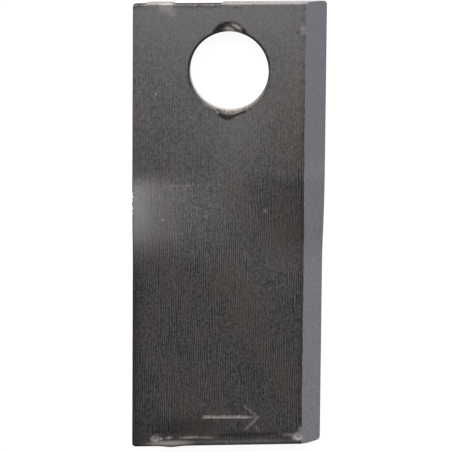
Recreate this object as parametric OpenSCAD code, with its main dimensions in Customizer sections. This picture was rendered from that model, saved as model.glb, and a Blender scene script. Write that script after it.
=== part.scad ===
// Twisted flat knife of a rotary disc mower, one piece of hardened steel bar.
// The bar is bored at one end and twisted along its length. Each long side is ground to a
// cutting edge from the opposite face, so the knife can be turned over about its length.
// The origin is the middle of the bore at half thickness. +Z runs along the bore,
// +Y points to the bored end and +X to the edge whose bevel faces up.

/* [Bar] */
// Length along the longer side
blade_length = 115; // [105:1:130]
// Width over both cutting edges
blade_width = 49; // [44:0.5:54]
// Thickness of the bar
blade_thickness = 4; // [3:0.25:5]

/* [Bore] */
// Diameter of the bore
bore_diameter = 20; // [16:0.5:22]
// Distance from the bored end to the middle of the bore
bore_inset = 17.5; // [16:0.5:22]
// Width of the drawn-in rim round the top of the bore
rim_width = 0.8; // [0.4:0.1:1.2]
// Depth of the drawn-in rim
rim_depth = 0.5; // [0.2:0.1:0.8]

/* [Rim dents] */
// Radius of a dent's outline on the top face
dent_radius = 4.5; // [3:0.25:6]
// Depth of a dent at its middle
dent_depth = 1.3; // [0.6:0.1:1.6]
// How far the dent on the bored end's side reaches out from the bore
inner_dent_reach = 2.4; // [1:0.1:3]
// How far the dent on the free end's side reaches out from the bore
outer_dent_reach = 2; // [1:0.1:3]
// Angle by which the dent on the free end's side lies off the length
outer_dent_turn = 3; // [-10:1:10]

/* [Twist] */
// Angle by which the free end is turned about the length
twist_angle = 9; // [4:0.5:16]
// Distance from the middle of the bore to the start of the twist
twist_start = 25.5; // [20:0.5:28]
// Length of the twist
twist_length = 24.5; // [18:0.5:34]
// Length over which the twist takes hold
twist_lead_in = 4.5; // [1:0.5:6]
// Length over which the twist runs out
twist_run_out = 8; // [1:0.5:10]

/* [Cutting edges] */
// Angle between a bevel and the face that it is ground from
bevel_angle = 30; // [26:1:40]
// Height of the flat land left at a cutting edge
edge_land = 1; // [0.7:0.1:1.6]
// Radius of the worn corner between a land and the flat face
edge_radius = 0.4; // [0.2:0.05:0.6]

/* [Ends] */
// Angle by which the bored end is sheared off square
bored_end_skew = 1; // [0:0.25:2]
// Radius of the corners in plan
corner_radius = 0.9; // [0.5:0.1:2]
// Radius of the edge that the shear drew down on the top face
roll_radius = 0.7; // [0.3:0.1:1.2]
// Length over which the free end droops to its edge
droop_length = 4.4; // [2:0.2:8]
// Angle of that droop
droop_angle = 3; // [1:0.5:5]
// Set-back of the upper cutting edge's corner at the free end
toe_setback = 0.7; // [0.2:0.1:1.5]

/* [Hidden] */
$fn = 96;

half_width = blade_width / 2;
half_thickness = blade_thickness / 2;
bore_radius = bore_diameter / 2;
bevel_width = (blade_thickness - edge_land) / tan(bevel_angle);
twist_end = twist_start + twist_length;
free_end = blade_length - bore_inset - half_width * tan(bored_end_skew);

// Flats that stand for a round: the edge corners, the corners in plan, the rolled edge and the rim
edge_flats = 3;
corner_flats = [22.5, 45, 67.5];
roll_flats = [30, 60];
rim_flats = [0, 45, 90];

// Slices along the twist and strips across its faces
twist_slices = 20;
face_strips = 10;

// How far a cut runs past the bar, and a larger size that clears all of it
spare = 3;
clear = 2 * blade_width;

// Half of the section in X and Z: up the land on the left, round its corner and across the top
// face to the bevel. Half a turn about the origin gives the other half.
function half_section() = concat(
    [[-half_width, half_thickness - edge_land]],
    [for (i = [0 : edge_flats])
        let (angle = 180 - 90 * i / edge_flats)
            [-half_width + edge_radius * (1 + cos(angle)),
             half_thickness - edge_radius * (1 - sin(angle))]],
    [[half_width - bevel_width, half_thickness]]);

function section() = concat(half_section(), -half_section());

// The section turned about the length, with +X going down, in whole microns so that the
// lengths of bar that meet there share their corners
function turned_section(angle) = [for (p = section())
    [round(1000 * (p.x * cos(angle) + p.y * sin(angle))) / 1000,
     round(1000 * (p.y * cos(angle) - p.x * sin(angle))) / 1000]];

// The turned section with its two wide faces divided into strips
function ring(angle) =
    let (points = turned_section(angle), half = len(points) / 2)
        [for (i = [0 : 2 * half - 1])
            let (wide = i % half == half - 2, strips = wide ? face_strips : 1)
                each [for (s = [0 : strips - 1])
                    points[i] + s / strips * (points[(i + 1) % (2 * half)] - points[i])]];

// Share of the twist that is reached at a distance along it. The rate of turn grows evenly over
// the lead-in, then holds, and falls evenly over the run-out.
function turned_share(along) =
    let (left = twist_length - along, whole = twist_length - (twist_lead_in + twist_run_out) / 2)
        along < twist_lead_in ? along * along / (2 * twist_lead_in * whole)
        : left > twist_run_out ? (along - twist_lead_in / 2) / whole
        : 1 - left * left / (2 * twist_run_out * whole);

// Straight length of bar between two distances from the bore towards the free end
module straight(from, to, angle) {
    translate([0, -from, 0])
        rotate([90, 0, 0])
            linear_extrude(to - from)
                polygon(turned_section(angle));
}

// Twisted length of bar, a loft through turned sections
module twist() {
    count = len(ring(0));
    points = [for (i = [0 : twist_slices])
        let (along = i / twist_slices * twist_length)
            for (p = ring(twist_angle * turned_share(along))) [p.x, -twist_start - along, p.y]];
    sides = [for (i = [0 : twist_slices - 1], j = [0 : count - 1])
        let (k = (j + 1) % count, near = i * count, far = near + count)
            each [[near + j, near + k, far + k], [near + j, far + k, far + j]]];
    first = [for (j = [0 : count - 1]) (count - j) % count];
    last = [for (j = [0 : count - 1]) twist_slices * count + j];
    polyhedron(points, concat([first], sides, [last]));
}

// The space beyond an end: past the shear, the round corners and the rolled edge.
// The end's edge runs along X and the bar is on the -Y side.
module end_cut() {
    translate([-clear / 2, 0, -clear / 2]) cube(clear);
    for (side = [0, 1], angle = corner_flats)
        mirror([side, 0, 0])
            translate([half_width - corner_radius, -corner_radius, 0])
                rotate([0, 0, angle])
                    translate([corner_radius, -clear / 2, -clear / 2]) cube(clear);
    for (angle = roll_flats)
        translate([0, -roll_radius, half_thickness - roll_radius])
            rotate([angle, 0, 0])
                translate([-clear / 2, roll_radius, -clear / 2]) cube(clear);
}

// The space above the drooping end
module droop_cut() {
    translate([0, -droop_length, half_thickness])
        rotate([-droop_angle, 0, 0])
            translate([-clear / 2, -spare, 0]) cube(clear);
}

// The space beyond the corner of the upper cutting edge
module toe_cut() {
    translate([half_width - bevel_width, 0, 0])
        rotate([0, 0, -atan(toe_setback / bevel_width)])
            translate([-spare, 0, -clear / 2]) cube(clear);
}

// The bore and its drawn-in rim
module bore_cut() {
    cylinder(h = blade_thickness + 2 * spare, r = bore_radius, center = true);
    rotate_extrude()
        polygon(concat(
            [[0, half_thickness - rim_depth]],
            [for (angle = rim_flats)
                [bore_radius + rim_width * (1 - cos(angle)),
                 half_thickness - rim_depth * (1 - sin(angle))]],
            [[bore_radius + rim_width, half_thickness + spare], [0, half_thickness + spare]]));
}

// A dent in the rim, pressed into the top face by a ball
module rim_dent(turn, dent_reach) {
    ball_radius = (dent_radius * dent_radius + dent_depth * dent_depth) / (2 * dent_depth);
    rotate([0, 0, turn])
        translate([0, bore_radius + dent_reach - dent_radius, half_thickness - dent_depth + ball_radius])
            sphere(ball_radius);
}

module bored_length() {
    difference() {
        straight(-bore_inset - spare, twist_start, 0);
        bore_cut();
        rim_dent(0, inner_dent_reach);
        rim_dent(180 + outer_dent_turn, outer_dent_reach);
        translate([0, bore_inset, 0]) rotate([0, 0, bored_end_skew]) end_cut();
    }
}

module cutting_length() {
    difference() {
        straight(twist_end, free_end + spare, twist_angle);
        rotate([0, twist_angle, 0])
            translate([0, -free_end, 0])
                mirror([0, 1, 0]) {
                    end_cut();
                    droop_cut();
                    toe_cut();
                }
    }
}

module blade() {
    color("dimgray") {
        bored_length();
        twist();
        cutting_length();
    }
}

blade();
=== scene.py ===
"""Twisted knife of a rotary disc mower: one hardened steel bar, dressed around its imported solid.

Shapes are worked out in millimetres on the untwisted bar, turned about its length as the solid
is, and only then put into metres. X runs across the bar, Y towards its bored end and Z up.
"""
import math

import bpy
import numpy as np
from mathutils import Matrix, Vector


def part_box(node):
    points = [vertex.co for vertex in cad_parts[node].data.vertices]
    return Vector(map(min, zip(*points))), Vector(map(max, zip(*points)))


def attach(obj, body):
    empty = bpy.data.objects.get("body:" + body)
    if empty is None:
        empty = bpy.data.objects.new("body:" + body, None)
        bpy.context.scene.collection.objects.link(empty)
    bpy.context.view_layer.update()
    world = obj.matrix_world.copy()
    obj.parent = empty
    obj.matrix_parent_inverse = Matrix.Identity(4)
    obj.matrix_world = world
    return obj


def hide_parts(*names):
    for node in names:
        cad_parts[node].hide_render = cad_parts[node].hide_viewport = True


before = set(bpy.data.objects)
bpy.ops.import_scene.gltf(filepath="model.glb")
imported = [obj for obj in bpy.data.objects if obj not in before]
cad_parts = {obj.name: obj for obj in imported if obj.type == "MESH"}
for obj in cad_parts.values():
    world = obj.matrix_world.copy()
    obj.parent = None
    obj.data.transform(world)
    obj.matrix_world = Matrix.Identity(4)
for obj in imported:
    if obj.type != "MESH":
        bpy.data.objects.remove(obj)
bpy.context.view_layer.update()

MM = 0.001
low_corner, high_corner = (np.array(corner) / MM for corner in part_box("blade"))

# Bar
HALF_WIDTH = high_corner[0]
HALF_THICKNESS = 2.0
FREE_END = -low_corner[1]
BORED_END = 17.5
BORED_END_SKEW = math.tan(math.radians(1.0))
CORNER_RADIUS = 0.9
ROLL_RADIUS = 0.7
DROOP_LENGTH = 4.4
DROOP_SLOPE = math.tan(math.radians(3.0))
TOE_SETBACK = 0.7

# Bore, and the dents in its rim: how far out a dent's middle is and its bearing about the bore
BORE_RADIUS = 10.0
RIM_WIDTH = 0.8
RIM_DEPTH = 0.5
DENT_RADIUS = 4.5
DENT_DEPTH = 1.3
DENTS = [(BORE_RADIUS + 2.4 - DENT_RADIUS, 0.0), (BORE_RADIUS + 2.0 - DENT_RADIUS, 183.0)]

# Twist about the length
TWIST_ANGLE = math.radians(9.0)
TWIST_START = 25.5
TWIST_LENGTH = 24.5
TWIST_LEAD_IN = 4.5
TWIST_RUN_OUT = 8.0

# Cutting edges
EDGE_LAND = 1.0
EDGE_RADIUS = 0.4
BEVEL_SLOPE = math.tan(math.radians(30.0))
BEVEL_WIDTH = (2 * HALF_THICKNESS - EDGE_LAND) / BEVEL_SLOPE
BEVEL_LINE = HALF_WIDTH - BEVEL_WIDTH

# Stamped arrow: each stroke from point to point, with its depth and how bare it is
ARROW_TIP = (7.9, -89.5)
ARROW_STROKES = [
    ((-6.0, -89.3), (5.0, -89.4), 0.07, 0.42),
    ((5.0, -89.4), ARROW_TIP, 0.07, 0.12),
    ((4.4, -86.6), ARROW_TIP, 0.06, 0.17),
    ((4.6, -92.6), ARROW_TIP, 0.06, 0.17),
    ((7.5, -92.2), (8.4, -93.4), 0.04, 0.14)]
STROKE_HALF_WIDTH = 0.5
LIP_SHARE = 0.25

# Nicks in the left edge: Y, depth and half length
NICKS = [
    (-31.6, 0.22, 0.22), (-32.4, 0.3, 0.3), (-33.4, 0.16, 0.25), (-35.3, 0.26, 0.28),
    (-36.6, 0.14, 0.3)]

# Burr on the free end's edge: X, half length and how far it stands out
BURR_X = -14.3
BURR_HALF_LENGTH = 2.2
BURR_DEPTH = 0.3

# Unevenness of the rolled face beside the bevel: height, reach, and wavelengths along the bar
FACE_RISE = 0.035
FACE_RISE_REACH = 1.5
FACE_RISE_WAVES = [2.3, 3.7, 6.1, 9.7, 17.0]

# Sheared bored end: X from and to where its face stands plain, and how far it stands back and leans
# in elsewhere, where it broke
PLAIN_SHEAR = [(-21.0, -14.0), (-1.9, 26.0)]
BREAK_SETBACK = 0.22
SHEAR_LEAN = 0.65

# Marks on the top face, each an oval: X, Y, half length across, half length along, turn, strength.
# A chip's strength is its depth, and below zero it is smeared metal that stands up.
CHIPS = [
    (-18.6, -94.9, 1.1, 0.85, 0, 0.1), (18.4, -94.9, 1.2, 0.8, 0, 0.09),
    (1.9, 17.2, 1.7, 1.0, 0, 0.06), (1.9, 11.2, 1.6, 0.55, -28, -0.1),
    (0.1, 10.7, 1.3, 0.6, 0, -0.12)]
BARE_OVALS = [
    (-18.6, -94.9, 1.2, 0.95, 0, 0.62), (-17.1, -95.0, 0.5, 0.45, 0, 0.5),
    (-15.1, -94.7, 0.8, 0.35, 0, 0.6), (-9.6, -94.7, 2.6, 0.3, 0, 0.55),
    (-5.2, -94.8, 2.2, 0.26, 0, 0.45), (-14.6, -96.2, 5.6, 0.7, 1, 0.62),
    (18.4, -94.9, 1.6, 1.1, 0, 0.9), (15.7, -94.4, 1.3, 0.35, 0, 0.42),
    (19.0, -93.4, 0.5, 1.1, 0, 0.4), (5.0, -96.1, 15.0, 0.6, 0, 0.13),
    (-16.1, 15.9, 2.1, 1.5, 0, 0.2), (-14.6, 14.6, 1.2, 1.2, 0, 0.14),
    (18.6, 10.6, 0.9, 1.2, 0, 0.2), (1.9, 11.2, 1.6, 0.55, -28, 0.9),
    (0.1, 10.6, 1.3, 0.65, 0, 0.8), (-18.6, -6.1, 0.2, 0.2, 0, 0.4),
    (9.4, -35.7, 0.5, 0.42, 0, 0.3), (-16.7, -38.1, 0.28, 0.28, 0, 0.22),
    (-5.8, -37.2, 0.25, 0.25, 0, 0.3)]
SOOT_OVALS = [
    (-18.6, -94.9, 0.5, 0.35, 0, 0.6), (18.5, -95.0, 0.5, 0.3, 0, 0.6),
    (17.5, 10.1, 1.0, 0.35, 0, 0.6), (-7.0, -11.6, 0.9, 2.3, 0, 0.42),
    (1.2, 10.85, 1.9, 0.22, -25, 0.88), (-13.5, -92.8, 10.0, 1.5, 0, 0.78),
    (5.0, -94.2, 12.0, 1.0, 0, 0.8), (-2.7, 10.9, 2.0, 0.8, 34, 0.74),
    (3.7, 10.3, 1.1, 0.55, -38, 0.88), (2.1, 16.2, 1.6, 0.3, 0, 0.6)]

# Broad patches on the top face, of thicker oxide, or of thinner where the strength is below zero; the
# two at Y -35 and -36 on the twist's left side are painted sheen where it catches the light:
# X, Y, half length across, half length along, strength
OXIDE_AND_SHEEN_PATCHES = [
    (0, 4, math.inf, 12, 0.09), (1, -17, 7, 9, -0.15), (18, -14, 6, 12, 0.1),
    (-25, -35, 6, 9, -0.28), (-5, -36, 10, 11, -0.18), (10, -47, 11, 11, -0.15),
    (-12.5, -91.5, 9, 2.2, 0.2)]

# Part of the twist where the mottling and grain fade, to paint its sheen smooth, given as those patches
# are
SHEEN_SMOOTH_PATCH = (-HALF_WIDTH, -37, 11, 11, 1)

# Painted shade that darkens the skin towards the free end, where the light falls off along the bar: how
# dark it gets, from which Y and over what length
FREE_END_SHADE = 0.58
FREE_END_SHADE_START = 23.0
FREE_END_SHADE_LENGTH = 68.0

# How dark the skin is elsewhere: at most, at the left edge and more of it beyond the twist, beside
# the bevel, on the bored end's ragged line, in the lower dent, and as painted shade on the rolled edge,
# round the bore and on the upper dent's outline
DARKEST_SOOT = 0.92
LEFT_EDGE_SOOT = 0.12
LEFT_EDGE_SOOT_BEYOND = 0.18
BEVEL_LINE_SOOT = 0.14
RAGGED_LINE_SOOT = 0.3
ROLLED_EDGE_SHADE = 0.65
UPPER_RIM_SHADE = 0.85
LOWER_RIM_SHADE = 0.35
UPPER_DENT_SHADE = 0.62
LOWER_DENT_SOOT = 0.42
LOWER_DENT_SOOT_BEYOND = 0.46
RAGGED_LINE_WAVES = [1.1, 1.9, 3.1, 5.3]

# A dark line along the far side of the lower dent, from point to point
DENT_LINE = [(-2.2, -11.0), (-1.6, -11.5), (-0.3, -11.9), (1.5, -11.45), (4.1, -10.2)]

# How bare the steel is along the faint press line, and how pale the bore's lower rim and the rolled edge
# are painted, as painted highlight where they catch the light
PRESS_LINE = ((-16.0, -29.7), (-5.9, -29.1))
PRESS_LINE_BARE = 0.1
LOWER_RIM_HIGHLIGHT = 0.1
ROLLED_EDGE_HIGHLIGHT = 0.6
ARROW_WAVES = [1.3, 2.1, 3.7]

# Finishes of the faces, in the order of the materials
SCALE, GROUND, SHEARED = range(3)

# Surface: half side of the square that is laid out in rings round the bore, how many rings and how
# they crowd to it, steps round a rounded edge, and levels down a wall
RING_SQUARE = 14.5
RING_COUNT = 28
RING_CROWDING = 1.7
ROUND_STEPS = 4
WALL_LEVELS = 8


def graded(*runs):
    """Positions along a line: each run of (start, end, step) divided into even steps."""
    parts = [np.linspace(a, b, max(1, round((b - a) / step)), endpoint=False) for a, b, step in runs]
    return np.concatenate(parts + [[runs[-1][1]]])


def quarter(radius, steps):
    """Distances from an edge at even angles round a quarter circle, without the last."""
    return radius * (1 - np.cos(np.linspace(0, np.pi / 2, steps, endpoint=False)))


def smooth(share):
    """A soft step from 0 to 1: share squared times three less twice the share."""
    share = np.clip(share, 0, 1)
    return share * share * (3 - 2 * share)


def near(distance, half_width):
    """1 on a line and nothing far from it: e to the minus square of how far out."""
    return np.exp(-((distance / half_width) ** 2))


def wander(along, seed, wavelengths):
    """A wandering line between about -1 and 1: sines of the given wavelengths with seeded phases."""
    phases = np.random.default_rng(seed).uniform(0, 2 * np.pi, len(wavelengths))
    waves = [np.sin(2 * np.pi * along / length + phase) for length, phase in zip(wavelengths, phases)]
    return sum(waves) / math.sqrt(len(wavelengths))


def drop_round(distance, radius):
    """How far a round of that radius has dropped at a distance in from the edge."""
    inside = np.clip(radius - distance, 0, radius)
    return radius - np.sqrt(radius * radius - inside * inside)


def corner_cut(x):
    """How far the round corners in plan stand back from the end's line."""
    past = np.clip(np.abs(x) - (HALF_WIDTH - CORNER_RADIUS), 0, CORNER_RADIUS)
    return CORNER_RADIUS - np.sqrt(CORNER_RADIUS**2 - past**2)


def plain_shear(x):
    """1 where the sheared end stands plain and 0 where it broke and leans in, with soft steps."""
    return sum(smooth((x - a) / 0.8 + 0.5) * smooth((b - x) / 0.8 + 0.5) for a, b in PLAIN_SHEAR)


def bored_line(x):
    """Y of the bored end's edge: a line off square, less the round corners and the break."""
    return BORED_END + x * BORED_END_SKEW - corner_cut(x) - BREAK_SETBACK * (1 - plain_shear(x))


def free_line(x):
    """Y of the free end's edge: square, less the round corners and the set-back toe, and with a
    small burr."""
    toe = TOE_SETBACK * np.clip((x - BEVEL_LINE) / BEVEL_WIDTH, 0, 1)
    return -FREE_END + toe + corner_cut(x) - BURR_DEPTH * near(x - BURR_X, BURR_HALF_LENGTH)


def end_share(y):
    """0 as far as the rings' square and 1 from a millimetre short of the bored end."""
    return np.clip((y - RING_SQUARE) / (BORED_END - 1 - RING_SQUARE), 0, 1)


def face_rise(y):
    """Unevenness of the rolled face along the bevel's line, which makes that line wander."""
    return FACE_RISE * wander(y, seed=11, wavelengths=FACE_RISE_WAVES)


def from_segment(x, y, start, end):
    """Distance from a straight line between two points."""
    dx, dy = end[0] - start[0], end[1] - start[1]
    share = np.clip(((x - start[0]) * dx + (y - start[1]) * dy) / (dx * dx + dy * dy), 0, 1)
    return np.hypot(x - start[0] - share * dx, y - start[1] - share * dy)


def oval(x, y, at_x, at_y, half_x, half_y, turn, strength):
    """That strength inside an oval and nothing outside: e to the minus fourth power of how far out."""
    angle = math.radians(turn)
    across = (x - at_x) * math.cos(angle) + (y - at_y) * math.sin(angle)
    along = (y - at_y) * math.cos(angle) - (x - at_x) * math.sin(angle)
    return strength * np.exp(-(((across / half_x) ** 2 + (along / half_y) ** 2) ** 2))


def soft_patch(x, y, at_x, at_y, half_x, half_y, strength):
    """That strength in the middle of an oval and less outwards: e to the minus square of how far out."""
    return strength * near(x - at_x, half_x) * near(y - at_y, half_y)


def arrow_height(x, y):
    """Stamped strokes: flat-floored grooves with soft walls and a low lip on either side."""
    height = np.zeros(np.shape(x))
    for start, end, depth, _ in ARROW_STROKES:
        distance = from_segment(x, y, start, end) / STROKE_HALF_WIDTH
        groove = depth * (1 - smooth((distance - 0.4) / 0.6))
        lip = LIP_SHARE * depth * near(distance - 1.35, 0.35)
        height = np.where(groove > 0, np.minimum(height, -groove), height + lip)
    return height


def dent_place(x, y, middle, turn):
    """Distance from the middle of a dent that lies on a bearing from the bore."""
    angle = math.radians(turn)
    return np.hypot(x + middle * math.sin(angle), y - middle * math.cos(angle))


def top_height(x, y):
    """Z of the top on the untwisted bar: the flat face, less its rounds, droop, rim, arrow, dents and
    chips, and no higher than the ground bevel."""
    face = HALF_THICKNESS + face_rise(y) * near(x - BEVEL_LINE, FACE_RISE_REACH)
    face = face - drop_round(x + HALF_WIDTH, EDGE_RADIUS)
    face = face - drop_round(bored_line(x) - y, ROLL_RADIUS)
    from_free_end = y - free_line(x)
    face = face - drop_round(from_free_end, ROLL_RADIUS)
    face = face - DROOP_SLOPE * np.clip(DROOP_LENGTH - from_free_end, 0, DROOP_LENGTH)
    radius = np.hypot(x, y)
    inside = np.clip((BORE_RADIUS + RIM_WIDTH - radius) / RIM_WIDTH, 0, 1)
    face = face - RIM_DEPTH * (1 - np.sqrt(1 - inside * inside))
    face = face + arrow_height(x, y)
    ball = (DENT_RADIUS**2 + DENT_DEPTH**2) / (2 * DENT_DEPTH)
    ball_middle = HALF_THICKNESS - DENT_DEPTH + ball
    for dent in DENTS:
        away = dent_place(x, y, *dent)
        pressed = ball_middle - np.sqrt(np.clip(ball * ball - away * away, 0, None))
        face = np.where(away < DENT_RADIUS, np.minimum(face, pressed), face)
    for chip in CHIPS:
        face = face - oval(x, y, *chip)
    bevel = HALF_THICKNESS - (x - BEVEL_LINE) * BEVEL_SLOPE
    return np.minimum(face, bevel)


def under_height(x):
    """Z of the underside: flat, rounded at the right edge and ground up to the left edge."""
    face = -HALF_THICKNESS + drop_round(HALF_WIDTH - x, EDGE_RADIUS)
    bevel = -HALF_THICKNESS + (-BEVEL_LINE - x) * BEVEL_SLOPE
    return np.maximum(face, bevel)


def plan_grid():
    """Columns across and rows along the bar, moved so that the outer rows follow the ends, the
    outer columns the nicks, and one column the wandering line of the bevel."""
    left = -HALF_WIDTH
    # Each run is from, to and step, and the steps are finer where there are marks
    columns = np.concatenate([
        left + quarter(EDGE_RADIUS, ROUND_STEPS),
        graded((left + EDGE_RADIUS, left + 3, 0.4), (left + 3, -RING_SQUARE, 0.3),
               (-RING_SQUARE, -8.6, 0.6), (-8.6, 9.4, 0.25), (9.4, RING_SQUARE, 0.6),
               (RING_SQUARE, BEVEL_LINE, 0.28),
               (BEVEL_LINE, HALF_WIDTH - CORNER_RADIUS, 0.55))[:-1],
        (HALF_WIDTH - quarter(CORNER_RADIUS, ROUND_STEPS))[::-1]])
    rows = np.concatenate([
        -FREE_END + quarter(ROLL_RADIUS, ROUND_STEPS),
        graded((-FREE_END + ROLL_RADIUS, -85.4, 0.22), (-85.4, -38, 0.65),
               (-38, -28.6, 0.25), (-28.6, -RING_SQUARE, 0.65), (-RING_SQUARE, RING_SQUARE, 0.6),
               (RING_SQUARE, BORED_END - ROLL_RADIUS, 0.4))[:-1],
        [BORED_END - ROLL_RADIUS],
        (BORED_END - quarter(ROLL_RADIUS, ROUND_STEPS))[::-1]])
    x, y = np.meshgrid(columns, rows, indexing="ij")
    free_share = np.clip((6 - FREE_END - y) / 5, 0, 1)
    y = y + end_share(y) * (bored_line(x) - BORED_END) + free_share * (free_line(x) + FREE_END)
    nick = sum(depth * near(y - at, half) for at, depth, half in NICKS)
    x = x + nick * np.clip(1 - (x - left) / 1.5, 0, 1)
    x = x - face_rise(y) / BEVEL_SLOPE * np.clip(1 - np.abs(x - BEVEL_LINE) / 1.2, 0, 1)
    return columns, rows, x, y


def cells(first, second):
    """Quads between two lines of vertex numbers of the same length."""
    return np.stack([first[:-1], second[:-1], second[1:], first[1:]], axis=1)


def closed(line):
    """A loop of vertex numbers with its first repeated at the end."""
    return np.concatenate([line, line[:1]])


def frame_loop(numbers, i0, i1, j0, j1):
    """Numbers round a block of the grid, anticlockwise seen from above."""
    return np.concatenate([numbers[i0:i1, j0], numbers[i1, j0:j1],
                           numbers[i1:i0:-1, j1], numbers[i0, j1:j0:-1]])


def twisted(points):
    """The bar turned about its length, its right side going down. The rate of turn grows evenly over
    the lead-in, then holds, and falls evenly over the run-out."""
    x, y, z = points.T
    along = np.clip(-y - TWIST_START, 0, TWIST_LENGTH)
    left = TWIST_LENGTH - along
    lead_in = np.where(along < TWIST_LEAD_IN, along**2 / (2 * TWIST_LEAD_IN), along - TWIST_LEAD_IN / 2)
    whole = TWIST_LENGTH - (TWIST_LEAD_IN + TWIST_RUN_OUT) / 2
    share = np.where(left > TWIST_RUN_OUT, lead_in / whole, 1 - left**2 / (2 * TWIST_RUN_OUT * whole))
    cos, sin = np.cos(TWIST_ANGLE * share), np.sin(TWIST_ANGLE * share)
    return np.stack([x * cos + z * sin, y, z * cos - x * sin], axis=1)


def bare_share(points):
    """How far the skin is worn or knocked off: the arrow, the marks and a faint press line, with
    painted highlight on the bore's lower rim and on the rolled edge of the bored end where the shear is
    plain."""
    x, y, z = points.T
    bare = np.zeros(len(x))
    for start, end, _, strength in ARROW_STROKES:
        distance = from_segment(x, y, start, end) / STROKE_HALF_WIDTH
        patchy = 0.85 + 0.3 * wander(x, seed=5, wavelengths=ARROW_WAVES) * (y > ARROW_TIP[1])
        bare = np.maximum(bare, strength * patchy * (1 - smooth((distance - 0.5) / 0.6)))
    for mark in BARE_OVALS:
        bare = np.maximum(bare, oval(x, y, *mark))
    for mark in SOOT_OVALS:
        bare = bare * (1 - oval(x, y, *mark))
    bare = np.maximum(bare, PRESS_LINE_BARE * near(from_segment(x, y, *PRESS_LINE), 0.15))
    past_bore = np.hypot(x, y) - BORE_RADIUS
    # Painted highlight on the lower rim, which faces the light
    lower_rim_highlight = smooth((0.5 - past_bore) / 0.5) * smooth((2 - y) / 6)
    bare = np.maximum(bare, LOWER_RIM_HIGHLIGHT * lower_rim_highlight)
    # Painted highlight on the rolled edge, where the shear is plain and it catches the light
    rolled_edge_highlight = 1 - smooth((bored_line(x) - y) / 0.45)
    bare = np.maximum(bare, ROLLED_EDGE_HIGHLIGHT * plain_shear(x) * rolled_edge_highlight)
    return np.clip(bare, 0, 1) * (z > 0)


def soot_and_shade_share(points):
    """How dark the skin is: painted shade deepening towards the free end, oxide patches, painted sheen
    on the twist's left side, and darker at the left edge, beside the bevel, at the bored end, round the
    bore, in the dents and in the marks, with painted shade on the rolled edge, the rims and the upper
    dent's outline."""
    x, y, z = points.T
    # Painted shade: darker towards the free end, as the light falls off along the bar
    free_end_shade = FREE_END_SHADE * smooth((FREE_END_SHADE_START - y) / FREE_END_SHADE_LENGTH)
    # The patches, two of which paint sheen on the twist's left side
    soot_and_shade = free_end_shade + sum(soft_patch(x, y, *patch) for patch in OXIDE_AND_SHEEN_PATCHES)

    left_edge = LEFT_EDGE_SOOT + LEFT_EDGE_SOOT_BEYOND * smooth((-y - 45) / 10)
    soot_and_shade = soot_and_shade + left_edge * np.exp(-((x + HALF_WIDTH) / 1.6))
    soot_and_shade = soot_and_shade + BEVEL_LINE_SOOT * near(x - BEVEL_LINE, 1.0) * (x < BEVEL_LINE)

    # The ragged line of the bored end, and painted shade on its rolled edge over the highlight it
    # catches, both fainter where the shear is plain
    from_end = bored_line(x) - y
    plain = plain_shear(x)
    ragged_line = 1.0 + 0.3 * wander(x, seed=23, wavelengths=RAGGED_LINE_WAVES)
    soot_and_shade = soot_and_shade + (RAGGED_LINE_SOOT - 0.2 * plain) * near(from_end - ragged_line, 0.3)
    soot_and_shade = soot_and_shade + (ROLLED_EDGE_SHADE - 0.4 * plain) * (1 - smooth(from_end - 0.3))

    # Painted shade on the outline of the upper dent, whose far wall faces away from the light, and on
    # the lower half of the rim, a band over its highlight
    upper_dent, lower_dent = (dent_place(x, y, *dent) for dent in DENTS)
    soot_and_shade = soot_and_shade + UPPER_DENT_SHADE * near(upper_dent - DENT_RADIUS + 0.05, 0.4)
    past_bore = np.hypot(x, y) - BORE_RADIUS
    soot_and_shade = soot_and_shade + LOWER_RIM_SHADE * near(past_bore - 0.4, 0.45) * (y < 0)

    # The lower dent is darker towards its far side, and darkest along its line, which tapers
    dent_soot = LOWER_DENT_SOOT + LOWER_DENT_SOOT_BEYOND * np.clip(past_bore / 1.2, 0, 1)
    in_dent = smooth((DENT_RADIUS - lower_dent) / 0.5)
    soot_and_shade = soot_and_shade + in_dent * (dent_soot - soot_and_shade)
    half_width = np.clip(0.84 - 0.09 * np.abs(x + 0.3), 0.2, None)
    for start, end in zip(DENT_LINE[:-1], DENT_LINE[1:]):
        outward = from_segment(x, y, start, end) / half_width
        soot_and_shade = np.maximum(soot_and_shade, DARKEST_SOOT * np.exp(-(outward**4)))

    for mark in SOOT_OVALS:
        soot_and_shade = np.maximum(soot_and_shade, oval(x, y, *mark))
    # Painted shade on the upper half of the rim, which faces away from the light, beside the smeared
    # metal
    upper_rim_shade = smooth((RIM_WIDTH - past_bore) / 0.5) * smooth((y + 3) / 6)
    soot_and_shade = np.maximum(soot_and_shade, UPPER_RIM_SHADE * upper_rim_shade * (np.abs(x - 1) > 2.2))
    return np.clip(np.where(z > 0, soot_and_shade, free_end_shade), 0, DARKEST_SOOT)


def sheen_smooth_share(points):
    """How far the mottling and grain fade on the raised left side of the twist, to paint its sheen
    smooth.
    """
    x, y, z = points.T
    return soft_patch(x, y, *SHEEN_SMOOTH_PATCH) * (z > 0)


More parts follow.
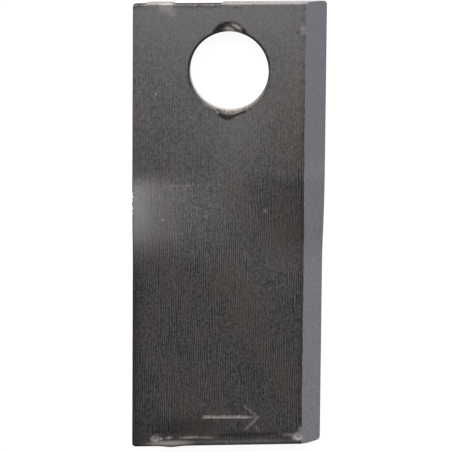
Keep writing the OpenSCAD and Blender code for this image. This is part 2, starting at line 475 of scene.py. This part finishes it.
def blade_mesh():
    """The closed surface: a top and an underside over one grid, rings round the bore in both, and
    walls of a few levels joining them round the outline and down the bore."""
    columns, rows, grid_x, grid_y = plan_grid()
    i0, i1 = (int(np.abs(columns - side * RING_SQUARE).argmin()) for side in (-1, 1))
    j0, j1 = (int(np.abs(rows - side * RING_SQUARE).argmin()) for side in (-1, 1))
    line = int(np.abs(columns - BEVEL_LINE).argmin())
    under_line = int(np.abs(columns + BEVEL_LINE).argmin())
    count = grid_x.size
    numbers = np.arange(count).reshape(grid_x.shape)
    square = frame_loop(numbers, i0, i1, j0, j1)
    outline = frame_loop(numbers, 0, len(columns) - 1, 0, len(rows) - 1)

    flat_x, flat_y = grid_x.ravel(), grid_y.ravel()
    share = (np.arange(RING_COUNT) / RING_COUNT)[:, None] ** RING_CROWDING
    bearing = np.arctan2(flat_y[square], flat_x[square])
    ring_x = (1 - share) * BORE_RADIUS * np.cos(bearing) + share * flat_x[square]
    ring_y = (1 - share) * BORE_RADIUS * np.sin(bearing) + share * flat_y[square]
    plan_x = np.concatenate([flat_x, ring_x.ravel()])
    plan_y = np.concatenate([flat_y, ring_y.ravel()])
    side_count = len(plan_x)
    rings = count + np.arange(ring_x.size).reshape(ring_x.shape)
    rings = np.vstack([rings, square])

    corners = [numbers[:-1, :-1], numbers[1:, :-1], numbers[1:, 1:], numbers[:-1, 1:]]
    block = np.stack(corners, axis=-1)
    kept = np.ones(block.shape[:2], bool)
    kept[i0:i1, j0:j1] = False
    column_of = np.broadcast_to(np.arange(block.shape[0])[:, None], kept.shape)[kept]
    ring_cells = np.concatenate([cells(closed(a), closed(b)) for a, b in zip(rings[:-1], rings[1:])])
    side = np.concatenate([block[kept], ring_cells])

    top = np.stack([plan_x, plan_y, top_height(plan_x, plan_y)], axis=1)
    under_y = plan_y - SHEAR_LEAN * (1 - plain_shear(plan_x)) * end_share(plan_y)
    under = np.stack([plan_x, under_y, under_height(plan_x)], axis=1)
    points = [top, under]
    faces = [side, side[:, ::-1] + side_count]
    ring_finish = np.full(len(ring_cells), SCALE)
    finishes = [np.where(column_of >= line, GROUND, SCALE), ring_finish,
                np.where(column_of < under_line, GROUND, SCALE), ring_finish]

    start = 2 * side_count
    ends = np.isin(outline, np.concatenate([numbers[:, 0], numbers[:, -1]]))
    end_wall = ends & np.roll(ends, -1)
    down = np.arange(1, WALL_LEVELS)[:, None, None] / WALL_LEVELS
    for loop, bored in ((outline, False), (rings[0][::-1], True)):
        wall = (1 - down) * top[loop] + down * under[loop]
        points.append(wall.reshape(-1, 3))
        between = start + np.arange(wall.size // 3).reshape(WALL_LEVELS - 1, len(loop))
        start += between.size
        lines = np.vstack([loop, between, loop + side_count])
        faces += [cells(closed(a), closed(b)) for a, b in zip(lines[:-1], lines[1:])]
        finish = np.full(len(loop), SHEARED) if bored else np.where(end_wall, SHEARED, SCALE)
        finishes += [finish] * WALL_LEVELS

    points = np.concatenate(points)
    faces = np.concatenate(faces)
    used, faces = np.unique(faces, return_inverse=True)
    return points[used], faces.reshape(-1, 4), np.concatenate(finishes)


# Steel: how far apart the mill lines are, the period of the wave that draws them in its own units,
# how much the clouds add to the mottling, and the tint that keeps the skin dull seen at a slant
LINE_SPACING = 0.58
WAVE_PERIOD = 0.314
CLOUD_SHARE = 0.2
DULL_AT_A_SLANT = "#a0a0a0"
SHARP_ANGLE = math.radians(25)


def node(tree, kind, inputs=None, **settings):
    """Add a node with its settings, and fill its inputs from values or from other outputs."""
    made = tree.nodes.new("ShaderNode" + kind)
    for name, value in settings.items():
        setattr(made, name, value)
    for key, value in (inputs or {}).items():
        if isinstance(value, bpy.types.NodeSocket):
            tree.links.new(value, made.inputs[key])
        else:
            made.inputs[key].default_value = value
    return made


def colour(code):
    """An sRGB hex colour as linear RGBA."""
    channels = [int(code[i:i + 2], 16) / 255 for i in (1, 3, 5)]
    linear = [c / 12.92 if c <= 0.04045 else ((c + 0.055) / 1.055) ** 2.4 for c in channels]
    return (*linear, 1.0)


def cell_scale(*sizes):
    """Mapping scale at which one unit of a pattern is that many millimetres along each axis."""
    return tuple(1 / (size * MM) for size in sizes)


def new_material(name):
    """An empty material with its shader, and that shader's tree."""
    made = bpy.data.materials.new(name)
    made.use_nodes = True
    tree = made.node_tree
    return made, tree, tree.nodes["Principled BSDF"]


def scaled_steel():
    """Hot-rolled spring steel, quenched: a dark oxide skin with the mill's fine lines along the bar,
    a mottled grain, brown tints, and paler steel where the skin is knocked off, with painted shade
    darkening it towards the free end, on the rims, the rolled edge and the upper dent's outline, painted
    sheen on the twist's left side and painted highlight on the lower rim and the plain rolled edge."""
    made, tree, shader = new_material("hot_rolled_steel_oxide_skin")
    bar = node(tree, "Attribute", attribute_name="bar").outputs["Vector"]
    bare = node(tree, "Attribute", attribute_name="bare").outputs["Fac"]
    soot_and_shade = node(tree, "Attribute", attribute_name="soot_and_shade").outputs["Fac"]
    sheen_smooth = node(tree, "Attribute", attribute_name="sheen_smooth").outputs["Fac"]

    # Mill lines along the bar, in patches, and fainter near the bore
    lines_at = node(tree, "Mapping", {
        "Vector": bar, "Scale": cell_scale(LINE_SPACING / WAVE_PERIOD, 9, 9)})
    lines = node(tree, "TexWave", {
        "Vector": lines_at.outputs[0], "Scale": 1.0, "Distortion": 8.0, "Detail": 3.0})
    patch_at = node(tree, "Mapping", {"Vector": bar, "Scale": cell_scale(7, 14, 14)})
    patches = node(tree, "TexNoise", {"Vector": patch_at.outputs[0], "Scale": 1.0, "Detail": 2.0})
    patchy = node(tree, "MapRange", {
        "Value": patches.outputs["Fac"], "From Min": 0.25, "From Max": 0.6})
    place = node(tree, "SeparateXYZ", {0: bar})
    below = node(tree, "MapRange", {
        "Value": place.outputs[1], "From Min": 0.0, "From Max": -45 * MM,
        "To Min": 0.12, "To Max": 0.27})
    shown = node(tree, "Math", {0: patchy.outputs[0], 1: below.outputs[0]}, operation="MULTIPLY")

    # Grain of the oxide, drawn out along the bar and at 0.45 by 0.6 mm so that it shows
    grain_at = node(tree, "Mapping", {"Vector": bar, "Scale": cell_scale(0.45, 0.6, 0.45)})
    grain = node(tree, "TexNoise", {
        "Vector": grain_at.outputs[0], "Scale": 1.0, "Detail": 3.0, "Roughness": 0.7})
    texture = node(tree, "Mix", {
        "Factor": shown.outputs[0], "A": grain.outputs["Fac"], "B": lines.outputs["Fac"]})

    # Clouds of thicker and thinner oxide, 12 mm across
    cloud_at = node(tree, "Mapping", {"Vector": bar, "Scale": cell_scale(12, 16, 12)})
    cloud = node(tree, "TexNoise", {"Vector": cloud_at.outputs[0], "Scale": 1.0, "Detail": 3.0})
    clouded = node(tree, "Math", {
        0: cloud.outputs["Fac"], 1: CLOUD_SHARE, 2: texture.outputs[0]}, operation="MULTIPLY_ADD")
    offset = node(tree, "Math", {
        0: clouded.outputs[0], 1: 0.5 + CLOUD_SHARE / 2}, operation="SUBTRACT")

    # The mottling stands out more where the skin is darker, as towards the free end, and hardly where
    # the twist's sheen is painted smooth
    gain = node(tree, "MapRange", {
        "Value": soot_and_shade, "From Min": 0.1, "From Max": FREE_END_SHADE, "To Min": 0.85, "To Max": 3.3})
    gain = node(tree, "MapRange", {"Value": sheen_smooth, "To Min": gain.outputs[0], "To Max": 0.4})
    tone = node(tree, "Math", {0: offset.outputs[0], 1: gain.outputs[0], 2: 0.5},
                operation="MULTIPLY_ADD", use_clamp=True)
    skin = node(tree, "Mix", {
        "Factor": tone.outputs[0], "A": colour("#353435"), "B": colour("#716f6f")},
        data_type="RGBA")

    # Brown tints lie mostly where the skin is darker, towards the free end
    tempered = node(tree, "MapRange", {
        "Value": soot_and_shade, "From Min": 0.15, "From Max": 0.5, "To Min": 0.05, "To Max": 0.4})
    brown = node(tree, "MapRange", {
        "Value": cloud.outputs["Fac"], "From Min": 0.45, "From Max": 0.75,
        "To Max": tempered.outputs[0]})
    tinted = node(tree, "Mix", {
        "Factor": brown.outputs[0], "A": skin.outputs["Result"], "B": colour("#594d46")},
        data_type="RGBA")
    # The skin darkened by soot and by painted shade, and less where painted sheen lies on the twist
    sooty_and_shaded = node(tree, "Mix", {
        "Factor": soot_and_shade, "A": tinted.outputs["Result"], "B": colour("#181512")},
        data_type="RGBA")

    # Bare steel, and the painted highlight on the lower rim and the plain rolled edge, in patches as the
    # grain has them
    patch = node(tree, "MapRange", {
        "Value": grain.outputs["Fac"], "From Min": 0.3, "From Max": 0.7,
        "To Min": 0.6, "To Max": 1.3})
    worn = node(tree, "Math", {0: bare, 1: patch.outputs[0]}, operation="MULTIPLY", use_clamp=True)
    final = node(tree, "Mix", {
        "Factor": worn.outputs[0], "A": sooty_and_shaded.outputs["Result"], "B": colour("#a7a19e")},
        data_type="RGBA")
    tree.links.new(final.outputs["Result"], shader.inputs["Base Color"])

    # The grain is smoother where the oxide is thin, and where the twist's sheen is painted smooth
    relief = node(tree, "MapRange", {
        "Value": soot_and_shade, "From Min": 0.1, "From Max": 0.5, "To Min": 0.08, "To Max": 0.28})
    relief = node(tree, "MapRange", {"Value": sheen_smooth, "To Min": relief.outputs[0], "To Max": 0.04})
    bump = node(tree, "Bump", {
        "Height": texture.outputs[0], "Strength": relief.outputs[0], "Distance": 0.03 * MM})
    tree.links.new(bump.outputs[0], shader.inputs["Normal"])

    # Thick soot is matt
    matt = node(tree, "MapRange", {
        "Value": soot_and_shade, "From Min": 0.82, "From Max": DARKEST_SOOT, "To Min": 0.45, "To Max": 0.9})
    tree.links.new(matt.outputs[0], shader.inputs["Roughness"])
    shader.inputs["Specular Tint"].default_value = colour(DULL_AT_A_SLANT)
    shader.inputs["Metallic"].default_value = 0.8
    return made


def ground_steel():
    """Steel ground to the cutting bevel: even, matt and faintly lilac, with fine grit marks."""
    made, tree, shader = new_material("steel_ground_bevel")
    bar = node(tree, "Attribute", attribute_name="bar").outputs["Vector"]
    # Grit marks, drawn at 0.6 by 0.4 mm so that they show
    marks_at = node(tree, "Mapping", {"Vector": bar, "Scale": cell_scale(0.6, 0.4, 0.6)})
    marks = node(tree, "TexNoise", {"Vector": marks_at.outputs[0], "Scale": 1.0, "Detail": 3.0})
    shade = node(tree, "MapRange", {"Value": marks.outputs["Fac"], "From Min": 0.3, "From Max": 0.7})
    ground = node(tree, "Mix", {
        "Factor": shade.outputs[0], "A": colour("#6c6970"), "B": colour("#7f7c83")},
        data_type="RGBA")
    # Painted shade: a little darker towards the bored end, where the lamp lights the bevel more
    place = node(tree, "SeparateXYZ", {0: bar})
    darker = node(tree, "MapRange", {
        "Value": place.outputs[1], "From Min": -32 * MM, "From Max": -20 * MM, "To Max": 0.5})
    final = node(tree, "Mix", {
        "Factor": darker.outputs[0], "A": ground.outputs["Result"], "B": colour("#5f5c64")},
        data_type="RGBA")
    tree.links.new(final.outputs["Result"], shader.inputs["Base Color"])
    shader.inputs["Specular Tint"].default_value = colour(DULL_AT_A_SLANT)
    shader.inputs["Metallic"].default_value = 0.7
    shader.inputs["Roughness"].default_value = 0.55
    return made


def sheared_steel():
    """Steel bare where it was sheared and punched: pale grey, scored down the thickness."""
    made, tree, shader = new_material("steel_sheared_bare")
    bar = node(tree, "Attribute", attribute_name="bar").outputs["Vector"]
    # Score marks 0.5 mm apart
    scores_at = node(tree, "Mapping", {"Vector": bar, "Scale": cell_scale(0.5, 0.5, 6)})
    scores = node(tree, "TexNoise", {"Vector": scores_at.outputs[0], "Scale": 1.0, "Detail": 3.0})
    final = node(tree, "Mix", {
        "Factor": scores.outputs["Fac"], "A": colour("#8e8c89"), "B": colour("#c9c7c3")},
        data_type="RGBA")
    bump = node(tree, "Bump", {
        "Height": scores.outputs["Fac"], "Strength": 0.5, "Distance": 0.1 * MM})
    tree.links.new(final.outputs["Result"], shader.inputs["Base Color"])
    tree.links.new(bump.outputs[0], shader.inputs["Normal"])
    shader.inputs["Metallic"].default_value = 0.9
    shader.inputs["Roughness"].default_value = 0.5
    return made


def build_blade():
    """The blade as one closed mesh that stands for the solid."""
    flat, faces, finishes = blade_mesh()
    mesh = bpy.data.meshes.new("mower_blade")
    mesh.from_pydata(twisted(flat) * MM, [], faces)
    mesh.polygons.foreach_set("material_index", finishes.astype(np.int32))
    flat_layer = mesh.attributes.new("bar", "FLOAT_VECTOR", "POINT")
    flat_layer.data.foreach_set("vector", (flat * MM).astype(np.float32).ravel())
    for name, share in (("bare", bare_share), ("soot_and_shade", soot_and_shade_share), ("sheen_smooth", sheen_smooth_share)):
        layer = mesh.attributes.new(name, "FLOAT", "POINT")
        layer.data.foreach_set("value", share(flat).astype(np.float32))
    mesh.shade_smooth()
    mesh.set_sharp_from_angle(angle=SHARP_ANGLE)
    for made in (scaled_steel(), ground_steel(), sheared_steel()):
        mesh.materials.append(made)
    piece = bpy.data.objects.new("mower_blade", mesh)
    bpy.context.scene.collection.objects.link(piece)
    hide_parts("blade")
    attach(piece, "root")


# Floor: the plane under the two lines that the blade lies on, the left bevel's line at the bored
# end and the right lower edge at the free end
FLOOR_HALF = 8000.0
FLOOR_WHITE = 0.94


def build_floor():
    """A pale plane, leaning about the bar's length so that the blade rests on it."""
    left_x, left_z = -BEVEL_LINE, -HALF_THICKNESS
    right_x = HALF_WIDTH * math.cos(TWIST_ANGLE) - HALF_THICKNESS * math.sin(TWIST_ANGLE)
    right_z = low_corner[2]
    slope = (right_z - left_z) / (right_x - left_x)
    corner_x = np.array([-FLOOR_HALF, FLOOR_HALF, FLOOR_HALF, -FLOOR_HALF])
    corner_y = np.array([-FLOOR_HALF, -FLOOR_HALF, FLOOR_HALF, FLOOR_HALF])
    corners = np.stack([corner_x, corner_y, left_z + slope * (corner_x - left_x)], axis=1)
    mesh = bpy.data.meshes.new("floor")
    mesh.from_pydata(corners * MM, [], [(0, 1, 2, 3)])
    made, tree, shader = new_material("matt_white_paper")
    shader.inputs["Base Color"].default_value = colour("#f4f4f4")
    shader.inputs["Roughness"].default_value = 0.9
    # Seen directly, in metal or through glass it is mostly plain white, with part of its shadow, and
    # from below it is clear
    path = node(tree, "LightPath").outputs
    seen = node(tree, "Math", {0: path["Is Camera Ray"], 1: path["Is Glossy Ray"]}, operation="MAXIMUM")
    seen = node(tree, "Math", {0: seen.outputs[0], 1: path["Is Transmission Ray"]}, operation="MAXIMUM")
    share = node(tree, "Math", {0: seen.outputs[0], 1: FLOOR_WHITE}, operation="MULTIPLY")
    white = node(tree, "Emission", {"Color": colour("#ffffff"), "Strength": 1.0})
    top = node(tree, "MixShader", {0: share.outputs[0], 1: shader.outputs[0], 2: white.outputs[0]})
    below = node(tree, "NewGeometry").outputs["Backfacing"]
    clear = node(tree, "BsdfTransparent")
    both = node(tree, "MixShader", {0: below, 1: top.outputs[0], 2: clear.outputs[0]})
    tree.links.new(both.outputs[0], tree.nodes["Material Output"].inputs["Surface"])
    mesh.materials.append(made)
    floor = bpy.data.objects.new("floor", mesh)
    bpy.context.scene.collection.objects.link(floor)


# Camera: over the blade, leaning to its bored end, matched to the blade's outline in the photograph.
# The scale is in pixels to a millimetre, the angles in degrees and the offset in pixels.
IMAGE_SIZE = 452
VIEW_DISTANCE = 800.0
VIEW_SCALE = 3.9125
VIEW_ROLL = -0.468
VIEW_PITCH = 9.069
VIEW_YAW = -2.823
VIEW_MIDDLE = np.array([0.0, -39.5, 0.0])
VIEW_OFFSET = (2.15, -1.87)
SENSOR = 36.0


def build_camera():
    """A long lens that looks down at the middle of the blade."""
    turn = (Matrix.Rotation(math.radians(VIEW_ROLL), 3, "Z")
            @ Matrix.Rotation(math.radians(VIEW_PITCH), 3, "X")
            @ Matrix.Rotation(math.radians(VIEW_YAW), 3, "Y"))
    right, up, back = (np.array(row) for row in turn)
    place = VIEW_MIDDLE + VIEW_DISTANCE * back
    place = place - VIEW_OFFSET[0] / VIEW_SCALE * right + VIEW_OFFSET[1] / VIEW_SCALE * up
    lens = bpy.data.cameras.new("camera")
    lens.sensor_width = SENSOR
    lens.lens = VIEW_SCALE * VIEW_DISTANCE / IMAGE_SIZE * SENSOR
    lens.clip_start = 10 * MM
    camera = bpy.data.objects.new("camera", lens)
    camera.matrix_world = Matrix.Translation(place * MM) @ turn.transposed().to_4x4()
    bpy.context.scene.collection.objects.link(camera)
    bpy.context.scene.camera = camera


def build_lamp(name, place, width, height, power):
    """A soft box that faces the middle of the blade, its place in millimetres."""
    light = bpy.data.lights.new(name, "AREA")
    light.shape = "RECTANGLE"
    light.size = width * MM
    light.size_y = height * MM
    light.energy = power
    lamp = bpy.data.objects.new(name, light)
    back = (np.array(place) - VIEW_MIDDLE) / np.linalg.norm(np.array(place) - VIEW_MIDDLE)
    across = np.cross((0, 1, 0), back)
    across = across / np.linalg.norm(across)
    facing = Matrix(np.stack([across, np.cross(back, across), back], axis=1).tolist())
    lamp.matrix_world = Matrix.Translation(np.array(place) * MM) @ facing.to_4x4()
    bpy.context.scene.collection.objects.link(lamp)


def build_world(strength):
    """An even pale surround."""
    world = bpy.data.worlds.new("studio")
    world.use_nodes = True
    surround = world.node_tree.nodes["Background"]
    surround.inputs["Color"].default_value = colour("#ffffff")
    surround.inputs["Strength"].default_value = strength
    bpy.context.scene.world = world


build_blade()
build_floor()
build_camera()
build_lamp("key_softbox", place=(-250, 1000, 980), width=2400, height=1300, power=95)
build_world(strength=0.4)
bpy.context.scene.view_settings.view_transform = "Standard"
